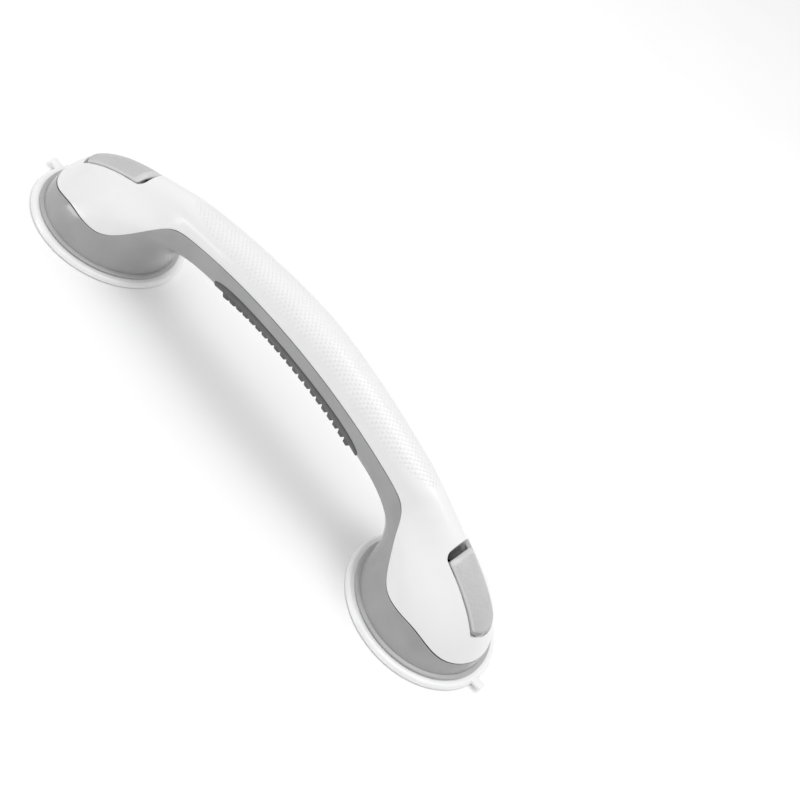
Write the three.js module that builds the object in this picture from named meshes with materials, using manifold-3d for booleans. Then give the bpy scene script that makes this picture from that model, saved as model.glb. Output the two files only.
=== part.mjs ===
// Suction grab bar: an arched two-shell handle on two lever-locked suction cups.
// Millimetres, +Z away from the wall, +X along the bar, origin at the middle of the wall face.
import * as THREE from 'three';
import { mergeVertices } from 'three/addons/utils/BufferGeometryUtils.js';
import Module from 'manifold-3d';

const wasm = await Module();
wasm.setup();

// ---------------------------------------------------------------- driving dimensions
const HALF_SPAN = 150; // middle of the bar to each cup axis
const CUP_R = 50; // suction disc, outside of its rim
const SKIRT_R = 43.2; // housing skirt at its open end
const SKIRT_Z = 5.3; // height of the skirt's open end above the wall
const ARCH_TOP = 83; // top of the arch above the wall
const ARCH_UNDER = 49.3; // underside of the arch above the wall
const BAR_HALF_WIDTH = 16.7; // at the middle of the bar
const NECK_HALF_WIDTH = 15.1; // where the bar meets a head
const WALL = 2.8; // shell wall
const GAP = 0.3; // between pieces that rest on each other

const PIN_Z = 40; // lever pin above the wall, lever closed
const PIN_R = 2;
const PIN_HALF_LENGTH = 11;
const STEM_TRAVEL = 3.2; // how far the lever pulls the middle of the cup up
const STEM_R = 5.6;
const STEM_BLADE = 4.6; // half thickness of the stem between the lever cheeks
const STEM_TOP = PIN_Z + 4.9;
const HUB_R = 12.5; // cam platform on the base ring
const HUB_TOP = 28.5;
const CAM_R = PIN_Z - HUB_TOP - GAP - 0.15; // cam radius under the pin, lever closed

const RING_R = 45.6; // base ring flange
const RING_BOTTOM = 3.4;
const RING_TOP = 5.0;
const LOCATOR_R = 38.6; // collar of the base ring inside the skirt
const CUP_TOP = 6.2; // middle of the suction disc, locked
const CUP_VOID = 3.6; // height of the vacuum space under it

const SLOT_HALF_WIDTH = 12; // lever slot in the cover
const SLOT_INNER = -11.4; // slot end towards the bar, from the cup axis
const SLOT_SHOULDER = 29.8; // where the slot's sides run into its rounded outer end
const SLOT_OUTER = 34.4; // slot end away from the bar
const SLOT_CORNER = 3.5;
const HEEL_FLAT = -7.9; // the lever's inner end, which lands on the hub when it is open
const HEEL_R = 13.2; // the heel is rounded about the pin
const LEVER_TILT = 1.4; // degrees that the lever's outer tip stands proud of the crown
const TILT_AT = -4.2; // the line on the crown that it is tilted about
const LEVER_SINK = 0.4; // depth of the lever's top below the crown on that line
const WINDOW_OUTER = 15; // the slot is open right through from its inner end to here
const LEVER_CLEAR = 0.6; // around the lever in its slot
const LEVER_THICK = 5.5;

const BASE_SCREW_AT = 19; // base screws sit at (+-19, +-19) from the cup axis
const BASE_SCREW_LENGTH = 17;
const BASE_SCREW_HEAD_Z = 5.5;
const BASE_BOSS_Z = 11.8; // where the cover's bosses meet those of the base ring
const BASE_BOSS_R = 4.3;
const RING_BOSS_R = 5.4;
const BAR_SCREWS = [-50, -18, 18, 50];
const BAR_SCREW_LENGTH = 20;
const BAR_SCREW_HEAD_RISE = 1.7; // of the bar screws above the underside
const BAR_BOSS_R = 4;
const SHEATH_R = 5; // of the bottom shell round each bar screw
const SHEATH_RISE = 6;
const SCREW_R = 1.6;
const SCREW_HEAD_R = 3.2;
const HEAD_CLEAR = 0.4; // round a screw head

const PAD_HALF_LENGTH = 61;
const PAD_DEEP = 1.1; // how far the pad is let into the shell
const PAD_PROUD = 0.7;
const PAD_RISE = 10.6; // height of the pad's edge above the underside
const RIB_PITCH = 5.5;
const RIB_COUNT = 21;
const RIB_HALF_WIDTH = 1.8;
const RIB_PROUD = 2.7;
const CUP_TURN = 5; // each disc sits a few degrees round from the bar's line

// sizes of the blocks that trim a shape, larger than what they trim
const TALL = 90;
const WIDE = 30;
const LONG = 60;
const REACH = 220; // beyond the whole body

// ---------------------------------------------------------------- materials
const finish = (color, roughness, metalness = 0) =>
  () => new THREE.MeshStandardMaterial({ color, roughness, metalness });
const whiteAbs = finish(0xeeeeee, 0.35);
const greyAbs = finish(0x9f9f9f, 0.3);
const ringAbs = finish(0xb4b4b4, 0.35);
const leverAbs = finish(0xcfcfcf, 0.5);
const darkRubber = finish(0x5a5a5a, 0.75);
const clearRubber = finish(0xe9ebec, 0.3);
const whiteNylon = finish(0xe2e0da, 0.5);
const steel = finish(0xb8babd, 0.3, 1);

// ---------------------------------------------------------------- solids
function solid(geometry) {
  const bare = geometry.clone();
  bare.deleteAttribute('normal');
  bare.deleteAttribute('uv');
  const merged = mergeVertices(bare, 1e-4);
  return new wasm.Manifold(new wasm.Mesh({
    numProp: 3,
    vertProperties: new Float32Array(merged.attributes.position.array),
    triVerts: new Uint32Array(merged.index.array),
  }));
}

function geometryOf(manifold) {
  const mesh = manifold.getMesh();
  const geometry = new THREE.BufferGeometry();
  geometry.setAttribute('position', new THREE.BufferAttribute(mesh.vertProperties, 3));
  geometry.setIndex(new THREE.BufferAttribute(mesh.triVerts, 1));
  geometry.computeVertexNormals();
  return geometry;
}

function piece(name, shape, material) {
  const geometry = shape.isBufferGeometry ? shape : geometryOf(shape);
  const mesh = new THREE.Mesh(geometry, material());
  mesh.name = name;
  return mesh;
}

// A plan outline (x, y) standing from z0 to z1.
function prismUp(points, z0, z1) {
  const outline = new THREE.Shape(points.map(([x, y]) => new THREE.Vector2(x, y)));
  const geometry = new THREE.ExtrudeGeometry(outline, { depth: z1 - z0, bevelEnabled: false });
  geometry.translate(0, 0, z0);
  return solid(geometry);
}

// A side outline (x, z) running across the bar from y0 to y1.
function prismAcross(points, y0, y1) {
  const outline = new THREE.Shape(points.map(([x, z]) => new THREE.Vector2(x, z)));
  const geometry = new THREE.ExtrudeGeometry(outline, { depth: y1 - y0, bevelEnabled: false });
  geometry.rotateX(Math.PI / 2);
  geometry.translate(0, y1, 0);
  return solid(geometry);
}

// A cross outline (y, z) running along the bar from x0 to x1.
function prismAlong(points, x0, x1) {
  const outline = new THREE.Shape(points.map(([y, z]) => new THREE.Vector2(y, z)));
  const geometry = new THREE.ExtrudeGeometry(outline, { depth: x1 - x0, bevelEnabled: false });
  geometry.rotateX(Math.PI / 2);
  geometry.rotateZ(Math.PI / 2);
  geometry.translate(x0, 0, 0);
  return solid(geometry);
}

// A closed (radius, z) profile turned about the Z axis.
function turned(profile, segments) {
  const points = [...profile, profile[0]].map(([r, z]) => new THREE.Vector2(r, z));
  const geometry = new THREE.LatheGeometry(points, segments);
  geometry.rotateX(Math.PI / 2);
  return solid(geometry);
}

function rod(radius, z0, z1, x = 0, y = 0, segments = 16) {
  const geometry = new THREE.CylinderGeometry(radius, radius, z1 - z0, segments);
  geometry.rotateX(Math.PI / 2);
  geometry.translate(x, y, (z0 + z1) / 2);
  return solid(geometry);
}

// A rod across the bar, along Y.
function crossRod(radius, halfLength, x, z, segments = 16) {
  const geometry = new THREE.CylinderGeometry(radius, radius, 2 * halfLength, segments);
  geometry.translate(x, 0, z);
  return solid(geometry);
}

// ---------------------------------------------------------------- the body's shape
// The body is a fan of flat sections. Each one stands across the bar and passes through
// a point of the crown line and a point of the underside line, both in the plane y = 0.
// u runs from 0 at the middle of the bar, past 1 at the neck, to 2 at the skirt's open end,
// where the section lies flat and is the round rim of the skirt.
const mix = (a, b, t) => a + (b - a) * t;
const ease = (t) => t * t * (3 - 2 * t);
const ramp = (x, from, to) => ease(THREE.MathUtils.clamp((x - from) / (to - from), 0, 1));
const vec = (x, z) => new THREE.Vector2(x, z);
const cubic = (a, b, c, d) => new THREE.CubicBezierCurve(a, b, c, d);

const crownNeck = vec(112, 66.6);
const crownWay = vec(1, -0.35).normalize();
const crownBar = cubic(vec(0, ARCH_TOP), vec(42, ARCH_TOP),
  crownNeck.clone().addScaledVector(crownWay, -9), crownNeck);
const crownHead = cubic(crownNeck, crownNeck.clone().addScaledVector(crownWay, 52),
  vec(HALF_SPAN + SKIRT_R - 3, SKIRT_Z + 28.6), vec(HALF_SPAN + SKIRT_R, SKIRT_Z));

const underNeck = vec(61, 42.6);
const underWay = vec(1, -0.13).normalize();
const underBar = cubic(vec(0, ARCH_UNDER), vec(41, ARCH_UNDER),
  underNeck.clone().addScaledVector(underWay, -7.5), underNeck);
const underHead = cubic(underNeck, underNeck.clone().addScaledVector(underWay, 8),
  vec(HALF_SPAN - SKIRT_R, SKIRT_Z + 44), vec(HALF_SPAN - SKIRT_R, SKIRT_Z));

const widthBar = (t) => mix(BAR_HALF_WIDTH, NECK_HALF_WIDTH, ease(t));
const widthHead = cubic(vec(0, NECK_HALF_WIDTH), vec(1 / 3, 16.2), vec(2 / 3, 35.9), vec(1, SKIRT_R));
const SQUARE_BAR = -0.03; // below 0 the section is fuller than an ellipse
const LEAN_HEAD = 0.09; // above 0 its shoulders are leaner

function sectionAt(u) {
  const t = u > 1 ? u - 1 : u;
  return {
    crown: (u > 1 ? crownHead : crownBar).getPoint(t),
    under: (u > 1 ? underHead : underBar).getPoint(t),
    halfWidth: u > 1 ? widthHead.getPoint(t).y : widthBar(t),
    lean: u > 1 ? mix(SQUARE_BAR, 0, t) + LEAN_HEAD * Math.sin(Math.PI * t) : SQUARE_BAR,
  };
}

// A point of the section at angle v from its crown, grown outward by grow.
function bodyPoint(s, v, grow) {
  const { crown, under, halfWidth, lean } = sectionAt(Math.abs(s));
  const middle = crown.clone().lerp(under, 0.5);
  const reach = crown.clone().sub(middle);
  reach.setLength(reach.length() + grow);
  const shrink = 1 - lean * Math.sin(2 * v) ** 2;
  const x = middle.x + reach.x * Math.cos(v) * shrink;
  const z = middle.y + reach.y * Math.cos(v) * shrink;
  return [Math.sign(s) * x, (halfWidth + grow) * Math.sin(v) * shrink, z];
}

const BAR_STEPS = 6;
const HEAD_STEPS = 10;
const AROUND = 24;

// The whole body, grown by grow. A body that is shrunk to hollow the shells is drawn out
// past the skirt's open ends, so that it opens them.
function bodyLoft(grow, last = 2, around = AROUND) {
  const stations = [];
  for (let i = 0; i <= BAR_STEPS; i += 1) {
    stations.push(i / BAR_STEPS);
  }
  for (let i = 1; i <= HEAD_STEPS && last > 1; i += 1) {
    stations.push(1 + i / HEAD_STEPS);
  }
  const signed = [...stations.slice(1).reverse().map((u) => -u), ...stations];
  const rings = signed.map((s) => {
    const ring = [];
    for (let j = 0; j < around; j += 1) {
      const v = (2 * Math.PI * j) / around;
      const [x, y, z] = bodyPoint(s === 0 ? 1e-9 : s, v, grow);
      ring.push([s === 0 ? 0 : x, y, z]);
    }
    return ring;
  });
  if (grow < 0 && last > 1) {
    const drop = (ring) => ring.map(([x, y, z]) => [x, y, z - 6]);
    rings.unshift(drop(rings[0]));
    rings.push(drop(rings.at(-1)));
  }
  return loft(rings);
}

// A closed body through rings of points, each ring facing along +X or continuing from it.
function loft(rings) {
  const count = rings[0].length;
  const positions = rings.flat(2);
  const index = [];
  for (let i = 0; i + 1 < rings.length; i += 1) {
    for (let j = 0; j < count; j += 1) {
      const a = i * count + j;
      const b = i * count + ((j + 1) % count);
      index.push(a, a + count, b + count, a, b + count, b);
    }
  }
  for (const [ring, first] of [[rings[0], true], [rings.at(-1), false]]) {
    const start = first ? 0 : (rings.length - 1) * count;
    const middle = positions.length / 3;
    const sum = (k) => ring.reduce((total, point) => total + point[k], 0) / count;
    positions.push(sum(0), sum(1), sum(2));
    for (let j = 0; j < count; j += 1) {
      const a = start + j;
      const b = start + ((j + 1) % count);
      index.push(middle, first ? a : b, first ? b : a);
    }
  }
  const geometry = new THREE.BufferGeometry();
  geometry.setAttribute('position', new THREE.Float32BufferAttribute(positions, 3));
  geometry.setIndex(index);
  return solid(geometry);
}

// Height of the joint between the white cover and the grey shell. It follows the side of
// the bar, drops at the neck, runs level round the head and sinks to the outer end.
function jointHeight(x) {
  const a = Math.abs(x);
  const onBar = 68 - 0.00137 * a * a;
  const onHead = mix(22.4, 12.5, ramp(a, 152, 188));
  return mix(onBar, onHead, ramp(a, 102, 134));
}

const jointLine = (lift) => {
  const line = [];
  for (let x = -REACH; x <= REACH; x += 5) {
    line.push([x, jointHeight(x) + lift]);
  }
  return line;
};
const aboveJoint = prismAcross(
  [...jointLine(GAP / 2), [REACH, TALL], [-REACH, TALL]], -LONG, LONG);
const belowJoint = prismAcross(
  [...jointLine(-GAP / 2).reverse(), [-REACH, -WIDE], [REACH, -WIDE]], -LONG, LONG);

// Height on a curve of (x, z) points at a given x.
function heightOn(curve, x) {
  let low = 0;
  let high = 1;
  for (let i = 0; i < 40; i += 1) {
    const t = (low + high) / 2;
    if (curve.getPoint(t).x < x) {
      low = t;
    } else {
      high = t;
    }
  }
  return curve.getPoint(low).y;
}
const underHeight = (x) => heightOn(underBar, Math.abs(x));
const crownHeight = (offset) => heightOn(crownHead, HALF_SPAN + offset);

// ---------------------------------------------------------------- lever slot and well
// Everything about one head is drawn for the head at +X, measured from its cup axis.
function slotOutline(grow) {
  const half = SLOT_HALF_WIDTH + grow;
  const inner = SLOT_INNER - grow;
  const corner = SLOT_CORNER + grow;
  const side = SLOT_SHOULDER + grow;
  const outline = new THREE.Shape();
  outline.moveTo(inner + corner, -half);
  outline.lineTo(side, -half);
  outline.quadraticCurveTo(2 * (SLOT_OUTER + grow) - side, 0, side, half);
  outline.lineTo(inner + corner, half);
  outline.absarc(inner + corner, half - corner, corner, Math.PI / 2, Math.PI, false);
  outline.absarc(inner + corner, corner - half, corner, Math.PI, 1.5 * Math.PI, false);
  return outline.getPoints(5).slice(1).map(({ x, y }) => [x, y]);
}

// The lever's underside, and the floor of the well below it, follow the crown.
function leverUnderside(drop) {
  const line = [];
  for (let x = -20; x <= 42; x += 4) {
    const at = Math.min(x, 40);
    line.push([x, crownHeight(at) - LEVER_THICK - drop]);
  }
  return line;
}
const aboveUnderside = (drop) =>
  prismAcross([...leverUnderside(drop), [42, TALL], [-20, TALL]], -WIDE, WIDE);
const blockUp = (x0, x1) =>
  prismUp([[x0, -WIDE], [x1, -WIDE], [x1, WIDE], [x0, WIDE]], 0, TALL);

const toHeads = (shape) => {
  const right = shape.translate([HALF_SPAN, 0, 0]);
  return right.add(right.rotate([0, 0, 180]));
};

// ---------------------------------------------------------------- shells
const outside = bodyLoft(0);
const hollow = bodyLoft(-WALL, 2, 16);
const shells = outside.subtract(hollow);

const baseScrewPlaces = [[1, 1], [-1, 1], [-1, -1], [1, -1]]
  .map(([a, b]) => [a * BASE_SCREW_AT, b * BASE_SCREW_AT]);

function makeTopCover() {
  const wellBlock = prismUp(slotOutline(2), 0, TALL).intersect(aboveUnderside(3));
  const slot = prismUp(slotOutline(0), 0, TALL);
  const wellRoom = slot.intersect(aboveUnderside(1));
  const window = slot.intersect(blockUp(-WIDE, WINDOW_OUTER));
  let columns = toHeads(wellBlock);
  for (const [x, y] of baseScrewPlaces) {
    columns = columns.add(toHeads(rod(BASE_BOSS_R, BASE_BOSS_Z, LONG, x, y, 8)));
  }
  for (const x of BAR_SCREWS) {
    columns = columns.add(rod(BAR_BOSS_R, underHeight(x) + SHEATH_RISE + 0.4, TALL, x, 0, 8));
  }
  let cover = shells.intersect(aboveJoint).add(columns.intersect(outside));
  const screwEnd = BASE_SCREW_HEAD_Z + BASE_SCREW_LENGTH;
  for (const [x, y] of baseScrewPlaces) {
    cover = cover.subtract(toHeads(rod(SCREW_R + GAP, BASE_BOSS_Z - 1, screwEnd + 3, x, y, 8)));
  }
  for (const x of BAR_SCREWS) {
    const z = underHeight(x);
    cover = cover.subtract(rod(SCREW_R + GAP, z, z + BAR_SCREW_LENGTH + 3, x, 0, 8));
  }
  return cover.subtract(toHeads(wellRoom)).subtract(toHeads(window));
}

function makeBottomShell() {
  let shell = shells.intersect(belowJoint);
  for (const x of BAR_SCREWS) {
    shell = shell.add(rod(SHEATH_R, WIDE, underHeight(x) + SHEATH_RISE, x, 0, 8).intersect(outside));
  }
  shell = shell.subtract(padRoom());
  for (const x of BAR_SCREWS) {
    shell = shell.subtract(rod(SCREW_HEAD_R + HEAD_CLEAR, WIDE, underHeight(x) + 4, x, 0, 8));
    shell = shell.subtract(rod(SCREW_R + GAP, WIDE, underHeight(x) + SHEATH_RISE + 2, x, 0, 8));
  }
  return shell;
}

// ---------------------------------------------------------------- grip pad
function padRegion(rise, half) {
  const line = [];
  const steps = 20;
  for (let i = 0; i <= steps; i += 1) {
    const x = mix(-half, half, i / steps);
    line.push([x, underHeight(x) + rise * (1 - Math.abs(x / half) ** 8) - 0.2]);
  }
  return prismAcross([...line.reverse(), [-half, 20], [half, 20]], -WIDE, WIDE);
}
const padRoom = () => padRegion(PAD_RISE + GAP, PAD_HALF_LENGTH + GAP)
  .subtract(bodyLoft(-PAD_DEEP - GAP, 1));

function makeGripPad() {
  const band = bodyLoft(PAD_PROUD, 1).subtract(bodyLoft(-PAD_DEEP, 1))
    .intersect(padRegion(PAD_RISE, PAD_HALF_LENGTH));
  const profile = [[-9.5, 2.6], [-7, -RIB_PROUD], [7, -RIB_PROUD], [9.5, 2.6]];
  const rib = prismAlong(profile, -RIB_HALF_WIDTH, RIB_HALF_WIDTH);
  let pad = band;
  for (let i = 0; i < RIB_COUNT; i += 1) {
    const x = (i - (RIB_COUNT - 1) / 2) * RIB_PITCH;
    pad = pad.add(rib.translate([x, 0, underHeight(x)]));
  }
  return pad.subtract(bodyLoft(-PAD_DEEP, 1));
}

// ---------------------------------------------------------------- one head's mechanism
function makeLever() {
  // the plate's top is the crown, turned about a line near the heel
  const crownAt = crownHeight(TILT_AT);
  const top = outside.translate([-HALF_SPAN - TILT_AT, 0, -crownAt])
    .rotate([0, -LEVER_TILT, 0]).translate([TILT_AT, 0, crownAt - LEVER_SINK]);
  const barrel = crossRod(HEEL_R, WIDE, 0, PIN_Z, 48).add(blockUp(0, LONG));
  const envelope = top.intersect(barrel);
  const half = SLOT_HALF_WIDTH - LEVER_CLEAR;
  const heel = [[HEEL_FLAT, -half], [WINDOW_OUTER, -half], [WINDOW_OUTER, half], [HEEL_FLAT, half]];
  const plan = prismUp(slotOutline(-LEVER_CLEAR), 0, TALL).add(prismUp(heel, 0, TALL));
  const plate = plan.intersect(blockUp(HEEL_FLAT, LONG)).intersect(envelope)
    .intersect(aboveUnderside(0));
  const outline = [];
  for (let angle = -20; angle <= 90; angle += 11) {
    const a = THREE.MathUtils.degToRad(angle);
    const radius = CAM_R - (STEM_TRAVEL * angle) / 90;
    outline.push([-Math.sin(a) * radius, PIN_Z - Math.cos(a) * radius]);
  }
  outline.push([HEEL_FLAT, PIN_Z + 1], [HEEL_FLAT, TALL], [6, TALL], [11, PIN_Z + 5], [9, PIN_Z - 4]);
  const inside = STEM_BLADE + 0.7;
  const cheeks = prismAcross(outline, inside, half).add(prismAcross(outline, -half, -inside))
    .intersect(envelope);
  const stemRoom = crossRod(STEM_R + 1, inside, 0, PIN_Z, 20);
  return plate.subtract(stemRoom).add(cheeks).subtract(crossRod(PIN_R + GAP, WIDE, 0, PIN_Z));
}

function makeStem() {
  const post = turned([[0, CUP_TOP + GAP], [10, CUP_TOP + GAP], [10, CUP_TOP + 2.3],
    [STEM_R, CUP_TOP + 2.9], [STEM_R, PIN_Z + 1.5], [3.4, STEM_TOP], [0, STEM_TOP]], 20);
  const flat = [[-8, HUB_TOP - 3], [8, HUB_TOP - 3], [8, LONG], [-8, LONG]];
  const sides = prismAcross(flat, STEM_BLADE, 9).add(prismAcross(flat, -9, -STEM_BLADE));
  return post.subtract(sides).subtract(crossRod(PIN_R + GAP, WIDE, 0, PIN_Z));
}

function makeSuctionCup(turn) {
  const disc = turned([[0, CUP_VOID], [12, CUP_VOID - 0.2], [40, 0.9], [44, 0], [49.6, 0],
    [CUP_R, 0.5], [CUP_R - 0.1, 1.5], [CUP_R - 0.9, 2.5], [CUP_R - 2.3, 3.1],
    [40, 3.1], [12, CUP_TOP - 0.2], [0, CUP_TOP]], 32);
  const tab = prismUp([[47.6, -3.3], [53, -3.2], [54.9, -2.2], [55.5, 0], [54.9, 2.2],
    [53, 3.2], [47.6, 3.3]], 0, 20);
  const slope = prismAcross([[40, 0.4], [50, 0.6], [53, 2.2], [57, 4], [57, 6.1], [52, 4],
    [49, 2.6], [47, 2.4], [40, 2]], -10, 10);
  return disc.add(tab.intersect(slope)).rotate([0, 0, turn]);
}

function makeBaseRing() {
  let ring = turned([[RING_R, RING_BOTTOM], [RING_R, RING_TOP], [LOCATOR_R, RING_TOP], [LOCATOR_R, 6.8],
    [LOCATOR_R - 1.8, 6.8], [14, 12.2], [HUB_R, 13], [HUB_R, HUB_TOP], [STEM_R + 0.5, HUB_TOP],
    [STEM_R + 0.5, 9.3], [15, 9.3], [38, RING_BOTTOM + 0.1]], 24);
  const rib = prismAcross([[11, 10], [36, 6.2], [36, 8.2], [11, 24]], -1.1, 1.1);
  for (const turn of [0, 90, 180, 270]) {
    ring = ring.add(rib.rotate([0, 0, turn]));
  }
  for (const [x, y] of baseScrewPlaces) {
    ring = ring.add(rod(RING_BOSS_R, 7, BASE_BOSS_Z - GAP, x, y, 8));
  }
  for (const [x, y] of baseScrewPlaces) {
    ring = ring.subtract(rod(SCREW_HEAD_R + HEAD_CLEAR, 0, BASE_SCREW_HEAD_Z + 2.6, x, y, 8));
    ring = ring.subtract(rod(SCREW_R + GAP, 0, BASE_BOSS_Z + 2, x, y, 8));
  }
  return ring;
}

function makeScrew(length) {
  return turned([[0, 0], [SCREW_HEAD_R, 0.3], [SCREW_HEAD_R, 2], [SCREW_R, 2],
    [SCREW_R, length - 1.6], [0, length]], 8);
}

// ---------------------------------------------------------------- assembly
const grabBar = new THREE.Group();
grabBar.add(piece('top_cover', makeTopCover(), whiteAbs));
grabBar.add(piece('bottom_shell', makeBottomShell(), greyAbs));
grabBar.add(piece('grip_pad', makeGripPad(), darkRubber));

BAR_SCREWS.forEach((x, i) => {
  const screw = piece(`bar_screw_${i + 1}`, makeScrew(BAR_SCREW_LENGTH), steel);
  screw.position.set(x, 0, underHeight(x) + BAR_SCREW_HEAD_RISE);
  grabBar.add(screw);
});

for (const [side, facing] of [['a', Math.PI], ['b', 0]]) {
  const head = new THREE.Group();
  head.position.x = facing ? -HALF_SPAN : HALF_SPAN;
  head.rotation.z = facing;
  head.add(piece(`lever_${side}`, makeLever(), leverAbs));
  head.add(piece(`lever_pin_${side}`, crossRod(PIN_R, PIN_HALF_LENGTH, 0, PIN_Z), steel));
  head.add(piece(`cup_stem_${side}`, makeStem(), whiteNylon));
  head.add(piece(`suction_cup_${side}`, makeSuctionCup(facing ? CUP_TURN : -CUP_TURN), clearRubber));
  head.add(piece(`base_ring_${side}`, makeBaseRing(), ringAbs));
  baseScrewPlaces.forEach(([x, y], i) => {
    const screw = piece(`base_screw_${side}${i + 1}`, makeScrew(BASE_SCREW_LENGTH), steel);
    screw.position.set(x, y, BASE_SCREW_HEAD_Z);
    head.add(screw);
  });
  grabBar.add(head);
}

export default grabBar;
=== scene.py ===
import math

import bpy
import numpy as np
from mathutils import Matrix, Vector
from mathutils.geometry import delaunay_2d_cdt


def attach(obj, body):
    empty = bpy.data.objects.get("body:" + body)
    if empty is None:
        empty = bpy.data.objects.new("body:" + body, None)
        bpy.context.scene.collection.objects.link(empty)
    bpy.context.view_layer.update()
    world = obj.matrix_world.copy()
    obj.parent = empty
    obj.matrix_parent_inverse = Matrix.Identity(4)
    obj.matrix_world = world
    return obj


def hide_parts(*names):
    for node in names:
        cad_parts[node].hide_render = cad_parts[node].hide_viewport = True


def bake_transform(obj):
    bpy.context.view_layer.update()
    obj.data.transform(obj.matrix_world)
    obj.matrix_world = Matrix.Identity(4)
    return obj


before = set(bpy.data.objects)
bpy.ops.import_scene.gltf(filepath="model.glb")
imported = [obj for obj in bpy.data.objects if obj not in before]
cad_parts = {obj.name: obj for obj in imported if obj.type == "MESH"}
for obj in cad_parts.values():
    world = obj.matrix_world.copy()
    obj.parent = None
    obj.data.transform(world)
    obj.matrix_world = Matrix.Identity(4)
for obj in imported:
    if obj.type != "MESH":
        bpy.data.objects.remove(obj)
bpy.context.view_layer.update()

# ---------------------------------------------------------------- sizes, in millimetres
MM = 0.001
HALF_SPAN = 150.0  # from the middle of the bar to each cup's axis
SKIRT_R = 43.2
SKIRT_Z = 5.3
WALL = 2.6
GAP = 0.3
PIN_Z = 40.0
STEM_BLADE = 4.6
CAM_R = 11.05
STEM_TRAVEL = 3.2
SLOT_HALF = 12.0
SLOT_INNER = -11.4
SLOT_OUTER = 34.4
SLOT_SHOULDER = 29.8
HEEL_FLAT = -7.9
HEEL_R = 13.2
TILT_AT = -4.2
LEVER_TILT = math.radians(1.4)
LEVER_SINK = 0.4
LEVER_CLEAR = 0.6
LEVER_THICK = 5.5
PAD_HALF_LENGTH = 61.0
PAD_RISE = 10.6
RIB_PITCH = 5.5
RIB_COUNT = 21
CUP_TURN = 5.0
ACROSS = 18.0  # millimetres of the drawing plane per radian round the body

# the body in side view, as (x, z): its middle, and where the bar turns into the head
CROWN_MID, UNDER_MID = 83, 49.3
CROWN_NECK, CROWN_WAY = (112, 66.6), (1, -0.35)
UNDER_NECK, UNDER_WAY = (61, 42.6), (1, -0.13)
MID_WIDTH, NECK_WIDTH = 16.7, 15.1  # half widths
BAR_LEAN, HEAD_LEAN = -0.03, 0.09  # how far a section departs from an ellipse
SMOOTH_OVER = 3.0

# the joint between the white and the grey shell: its height, and the stretches of x where it changes
JOINT_MID, JOINT_BOW = 68, 0.00137
JOINT_HEAD, JOINT_END = 22.4, 12.5
JOINT_NECK_FROM, JOINT_NECK_TO = 102, 134
JOINT_END_FROM, JOINT_END_TO = 152, 188
JOINT_STEP = 0.5
JOINT_POINTS = 620

# the well under each lever
WELL_LIP = 7.6
WELL_LEVELS = (45, 41.5, 38, 34.5, 31)
WELL_DEEP = 12  # the well's wall goes down to the levels as far as here, and is shallow beyond
WELL_HEEL_END = -6
SWING_R, SWING_Z = 13.9, 39
WELL_FOOT, WELL_WALL = 1.2, 1.4
FLOOR_FROM, FLOOR_GROW = 15, 0.9
FLOOR_TOP, FLOOR_UNDER = 6.5, 8.1  # depths below the crown

# the lever's smooth heel and sides, outside its grained top
GRAIN_FROM = -3.6
GRAIN_HALF = 9.4
LEVER_EDGE = 0.9
RIDGE = 0.9  # how softly the top and the heel meet

# the pad and its ribs
PAD_SUNK, PAD_STEP = -1.0, 1.7
RIB_HEIGHT = 2.0
RIB_FLANK = (0.06, 0.26)  # of a pitch, from the middle of a gap
RIB_CLIMB, RIB_FADE = 5.4, 3.6

# the pull tab
TAB_FROM, TAB_LENGTH = 47.2, 8.2
TAB_Z, TAB_LIFT = 1.7, 2.2
TAB_HALF_WIDTH, TAB_HALF_THICK = 3.3, 1.25
TAB_ROUND = 28
TAB_SHOULDER = 0.45  # of its length, where the tip starts to close

RING_SCREW = 19  # each ring's screws stand this far from the cup's axis in x and in y
SHARP_ANGLE = 35


# ---------------------------------------------------------------- the body's surface
def cubic(a, b, c, d, t):
    a, b, c, d = (np.asarray(p, float) for p in (a, b, c, d))
    t = np.asarray(t, float)[:, None]
    return a * (1 - t) ** 3 + 3 * b * t * (1 - t) ** 2 + 3 * c * t * t * (1 - t) + d * t ** 3


def ease(t):
    return t * t * (3 - 2 * t)


def ramp(x, low, high):
    return ease(np.clip((x - low) / (high - low), 0, 1))


def unit(v):
    v = np.asarray(v, float)
    return v / np.linalg.norm(v, axis=-1, keepdims=True)


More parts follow.
